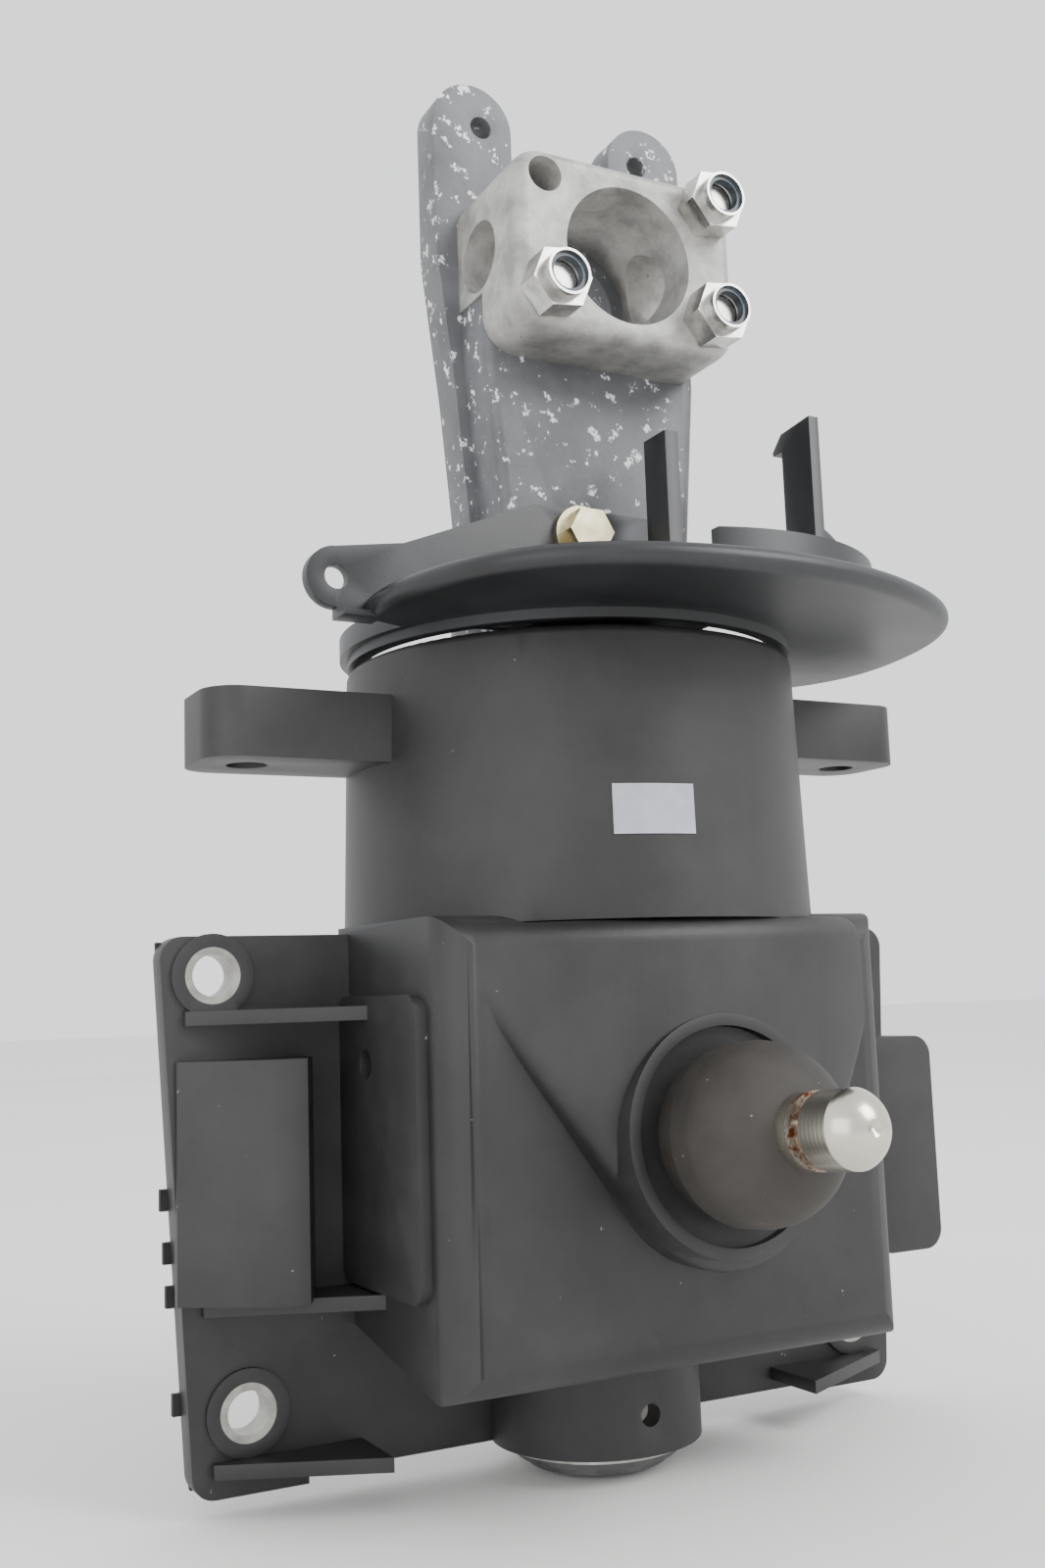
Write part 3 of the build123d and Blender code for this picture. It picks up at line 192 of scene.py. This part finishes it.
# ------------------------------------------------------------------ latch pin and its nut
# Stainless striker turned on a lathe: fine rings round the axis, and rust in the groove.
# The latch axis tips up by five degrees from straight ahead.
latch_tilt = radians(5.0)
latch_point = Vector((0.001, -0.069, -0.036))
latch_groove = (0.0300, 0.0326)  # distance along the axis where the groove lies


def turned_steel(name):
    """Lathe-turned stainless with ring marks about the latch axis, rusty in the groove."""
    material = bpy.data.materials.new(name)
    material.use_nodes = True
    tree = material.node_tree
    shader = tree.nodes["Principled BSDF"]
    shader.inputs["Metallic"].default_value = 1.0
    place = node(tree, "ShaderNodeTexCoord").outputs["Object"]
    # A second-kind Mapping brings the latch point to the origin and its axis onto Z.
    centred = node(tree, "ShaderNodeMapping", {"vector_type": "TEXTURE", "Location": latch_point,
                   "Rotation": (pi / 2 - latch_tilt, 0, 0)}, {"Vector": place})
    parts = node(tree, "ShaderNodeSeparateXYZ", links={0: centred.outputs[0]})
    rings = node(tree, "ShaderNodeTexWave",
                 {"wave_type": "BANDS", "bands_direction": "Z", "Scale": 260.0, "Distortion": 0.6,
                  "Detail": 2.0}, {"Vector": centred.outputs[0]})
    start, end = latch_groove
    after = node(tree, "ShaderNodeMath", {"operation": "GREATER_THAN", 1: start - 0.0006},
                 {0: parts.outputs["Z"]})
    before = node(tree, "ShaderNodeMath", {"operation": "LESS_THAN", 1: end + 0.0004},
                  {0: parts.outputs["Z"]})
    inside = node(tree, "ShaderNodeMath", {"operation": "MULTIPLY"},
                  {0: after.outputs[0], 1: before.outputs[0]})
    blotch = node(tree, "ShaderNodeTexNoise", {"Scale": 420.0, "Detail": 4.0}, {"Vector": place})
    sharp = node(tree, "ShaderNodeMapRange", {"From Min": 0.42, "From Max": 0.6},
                 {"Value": blotch.outputs["Fac"]})
    rust = node(tree, "ShaderNodeMath", {"operation": "MULTIPLY"},
                {0: inside.outputs[0], 1: sharp.outputs[0]})
    clouds = node(tree, "ShaderNodeTexNoise", {"Scale": 120.0, "Detail": 4.0}, {"Vector": place})
    steel = node(tree, "ShaderNodeMix", {"data_type": "RGBA"}, {0: clouds.outputs["Fac"]})
    steel.inputs[6].default_value = srgb("#b9b3a6")
    steel.inputs[7].default_value = srgb("#dad6ca")
    mixed = node(tree, "ShaderNodeMix", {"data_type": "RGBA"},
                 {0: rust.outputs[0], 6: steel.outputs[2]})
    mixed.inputs[7].default_value = srgb("#6a3d22")
    tree.links.new(mixed.outputs[2], shader.inputs["Base Color"])
    rough = node(tree, "ShaderNodeMapRange", {"To Min": 0.24, "To Max": 0.75},
                 {"Value": rust.outputs[0]})
    tree.links.new(rough.outputs[0], shader.inputs["Roughness"])
    bump = node(tree, "ShaderNodeBump", {"Strength": 0.25, "Distance": 0.00002},
                {"Height": rings.outputs["Fac"]})
    tree.links.new(bump.outputs["Normal"], shader.inputs["Normal"])
    return material


finish_node("latch_pin", turned_steel("turned stainless steel"))
for piece in ("latch_washer", "latch_nut"):
    finish_node(piece, dull_zinc)

# ------------------------------------------------------------------ stock label
# A blank coated-paper label stuck to the barrel, with slightly greyed patches.
label_paper = surface("coated label paper", "#a9acb3", "#9da0a8", 4, 0.4, 0.7, 0.45,
                      grain_mm=0.4, grain_depth_mm=0.01)
finish_node("stock_label", label_paper)

# ------------------------------------------------------------------ head bracket
# Cast aluminium under dark grey powder coat. Scuffs have gone through to pale metal, most
# of them on the web and along the edges of the side rails.
bracket_paint = surface("scuffed grey powder coat", "#4e4f52", "#66676a", 18, 0.36, 0.66, 0.46,
                        grain_mm=0.9, grain_depth_mm=0.07, speck="#dcdddd", speck_mm=3.6,
                        speck_level=0.60)
finish_node("head_bracket", bracket_paint)
softened("head_bracket", "column", bracket_paint, 0.8)

# ------------------------------------------------------------------ clamp block
# Raw sand-cast aluminium clamped over the handlebar: light, grainy, mottled grey.
cast_aluminium = surface("raw cast aluminium", "#8f8e8b", "#b9b8b4", 7, 0.34, 0.64, 0.56, 0.45,
                         grain_mm=1.1, grain_depth_mm=0.2, speck="#5d594f", speck_mm=3.4,
                         speck_level=0.7)
finish_node("clamp_block", cast_aluminium)
softened("clamp_block", "column", cast_aluminium, 1.4)
finish_node("steering_arm", cast_aluminium)

# ------------------------------------------------------------------ bolts and lock nuts
# Bright zinc-plated steel; each lock nut holds a dark bluish nylon ring in its collar.
bright_zinc = surface("bright zinc plate", "#a9a8a4", "#cfcecb", 6, 0.38, 0.62, 0.26, 1.0,
                      grain_mm=0.5, grain_depth_mm=0.01)
for piece in ("clamp_bolts", "clamp_nuts", "hub_screws", "arm_clamp_bolt", "arm_clamp_nut",
              "ball_stud", "ball_stud_nut", "lower_washer"):
    finish_node(piece, bright_zinc)
insert_nylon = surface("blue-black nylon ring", "#1a222b", "#2b3946", 3, 0.4, 0.6, 0.34,
                       grain_mm=0.4, grain_depth_mm=0.01)
finish_node("nut_inserts", insert_nylon)

# ------------------------------------------------------------------ cover plate
# Moulded nylon plate over the barrel, newer and smoother than the housing, satin black.
cover_nylon = surface("satin moulded nylon", "#151618", "#232528", 30, 0.38, 0.66, 0.42,
                      grain_mm=0.6, grain_depth_mm=0.03, speck="#7c7d7f", speck_mm=2.4,
                      speck_level=0.75)
finish_node("cover_plate", cover_nylon)
softened("cover_plate", "column", cover_nylon, 0.7)
yellow_zinc = surface("yellow zinc plate", "#b5ab88", "#d6cfb4", 5, 0.38, 0.62, 0.3, 1.0,
                      grain_mm=0.5, grain_depth_mm=0.015)
finish_node("cover_bolt", yellow_zinc)

# ------------------------------------------------------------------ steering tube
# Drawn steel tube, its key and the spring ring at its foot, oiled and dark.
tube_steel = surface("oiled drawn steel", "#5b5b5c", "#747474", 14, 0.38, 0.64, 0.36, 1.0,
                     grain_mm=0.6, grain_depth_mm=0.02)
for piece in ("steering_tube", "arm_key", "retaining_ring"):
    finish_node(piece, tube_steel)

# ------------------------------------------------------------------ floor
# A plain pale level sheet just under the lowest point of the part, far wider than it.
model_low, model_high = Vector(cad_box[0]), Vector(cad_box[1])
floor_drop = 0.0015
sheet_half = 6.0
floor_bm = bmesh.new()
bmesh.ops.create_grid(floor_bm, x_segments=1, y_segments=1, size=sheet_half,
                      matrix=Matrix.Translation((0, 0, model_low.z - floor_drop)))
floor_mesh = bpy.data.meshes.new("floor")
floor_bm.to_mesh(floor_mesh)
floor_bm.free()
floor = bpy.data.objects.new("floor", floor_mesh)
bpy.context.collection.objects.link(floor)
floor_mesh.materials.append(surface("pale paper sheet", "#f1f0ee", "#ebeae7", 400, 0.3, 0.7, 0.85,
                                    grain_mm=3.0, grain_depth_mm=0.01))

# ------------------------------------------------------------------ camera and light
# The camera stands low in front and to the left, and looks slightly upwards.
azimuth, pitch, roll = radians(28.06), radians(7.72), radians(-1.94)
forward = Vector((sin(azimuth) * cos(pitch), cos(azimuth) * cos(pitch), sin(pitch)))
level_right = Vector((cos(azimuth), -sin(azimuth), 0.0))
level_up = level_right.cross(forward)
right = level_right * cos(roll) + level_up * sin(roll)
up = level_up * cos(roll) - level_right * sin(roll)
camera_data = bpy.data.cameras.new("camera")
camera_data.sensor_fit = "VERTICAL"
camera_data.sensor_height = 24.0
camera_data.lens = 23.94
camera_data.clip_start = 0.01
camera = bpy.data.objects.new("camera", camera_data)
camera.matrix_world = Matrix.Translation((-0.1862, -0.3372, -0.0066)) @ Matrix(
    (right, up, -forward)).transposed().to_4x4()
bpy.context.collection.objects.link(camera)
bpy.context.scene.camera = camera

target = (model_low + model_high) / 2


def soft_light(name, offset, size, power):
    """A square soft box that faces the part."""
    data = bpy.data.lights.new(name, "AREA")
    data.shape = "SQUARE"
    data.size = size
    data.energy = power
    lamp = bpy.data.objects.new(name, data)
    lamp.location = target + Vector(offset)
    lamp.rotation_euler = (-Vector(offset)).to_track_quat("-Z", "Y").to_euler()
    bpy.context.collection.objects.link(lamp)


soft_light("key", (0.75, -1.05, 0.95), 0.8, 20.0)
soft_light("fill", (-1.2, -0.9, 0.2), 1.2, 8.0)
world = bpy.data.worlds.new("studio")
world.use_nodes = True
world.node_tree.nodes["Background"].inputs["Color"].default_value = srgb("#f3f4f6")
world.node_tree.nodes["Background"].inputs["Strength"].default_value = 1.7
bpy.context.scene.world = world
